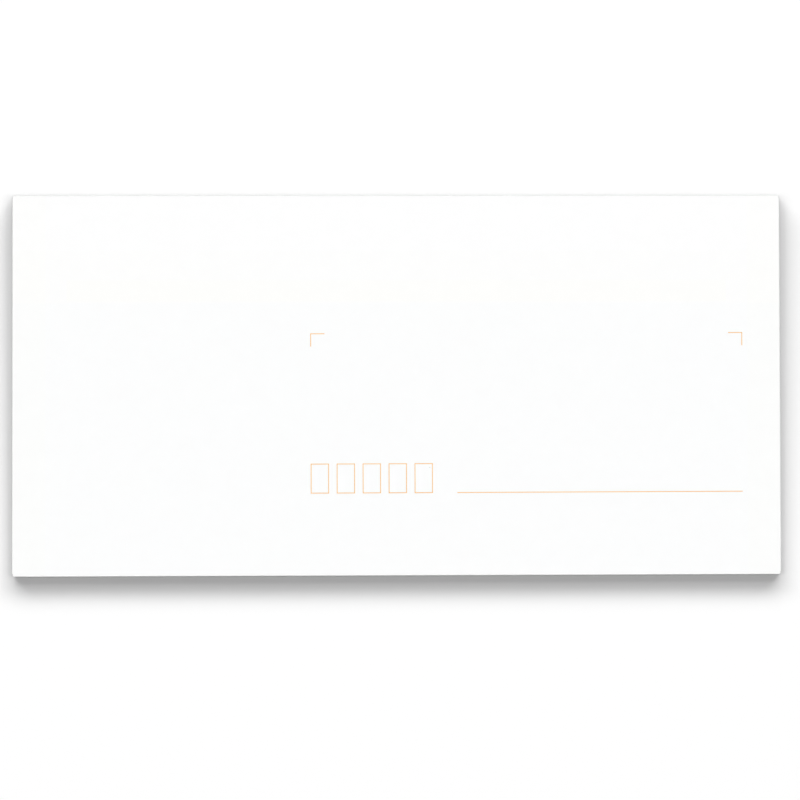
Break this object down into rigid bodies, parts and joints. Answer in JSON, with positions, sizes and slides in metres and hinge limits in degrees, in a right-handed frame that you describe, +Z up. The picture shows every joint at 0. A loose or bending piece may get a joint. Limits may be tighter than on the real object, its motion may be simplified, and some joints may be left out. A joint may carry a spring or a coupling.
{
  "type": "paper envelope",
  "caption": "Long white business envelope folded from one sheet, with an unsealed gummed closure flap under it and printed address guides on its front.",
  "frame": {"origin": "on the table under the middle of the envelope as it lies with its address side up", "axes": "+X along the long side, to the reader's right; +Y from the bottom fold to the opening with the closure fold; +Z up, out of the address side"},
  "size_m": [0.22, 0.109, 0.0009],
  "materials": {
    "paper": "uncoated, matte",
    "dried_gum": "thin clear film, slightly glossy",
    "orange_ink": "thin printed ink, matte"
  },
  "bodies": {
    "root": {"envelope": "paper", "gum_strip": "dried_gum", "postcode_boxes": "orange_ink", "address_line": "orange_ink", "corner_marks": "orange_ink"}
  },
  "joints": []
}
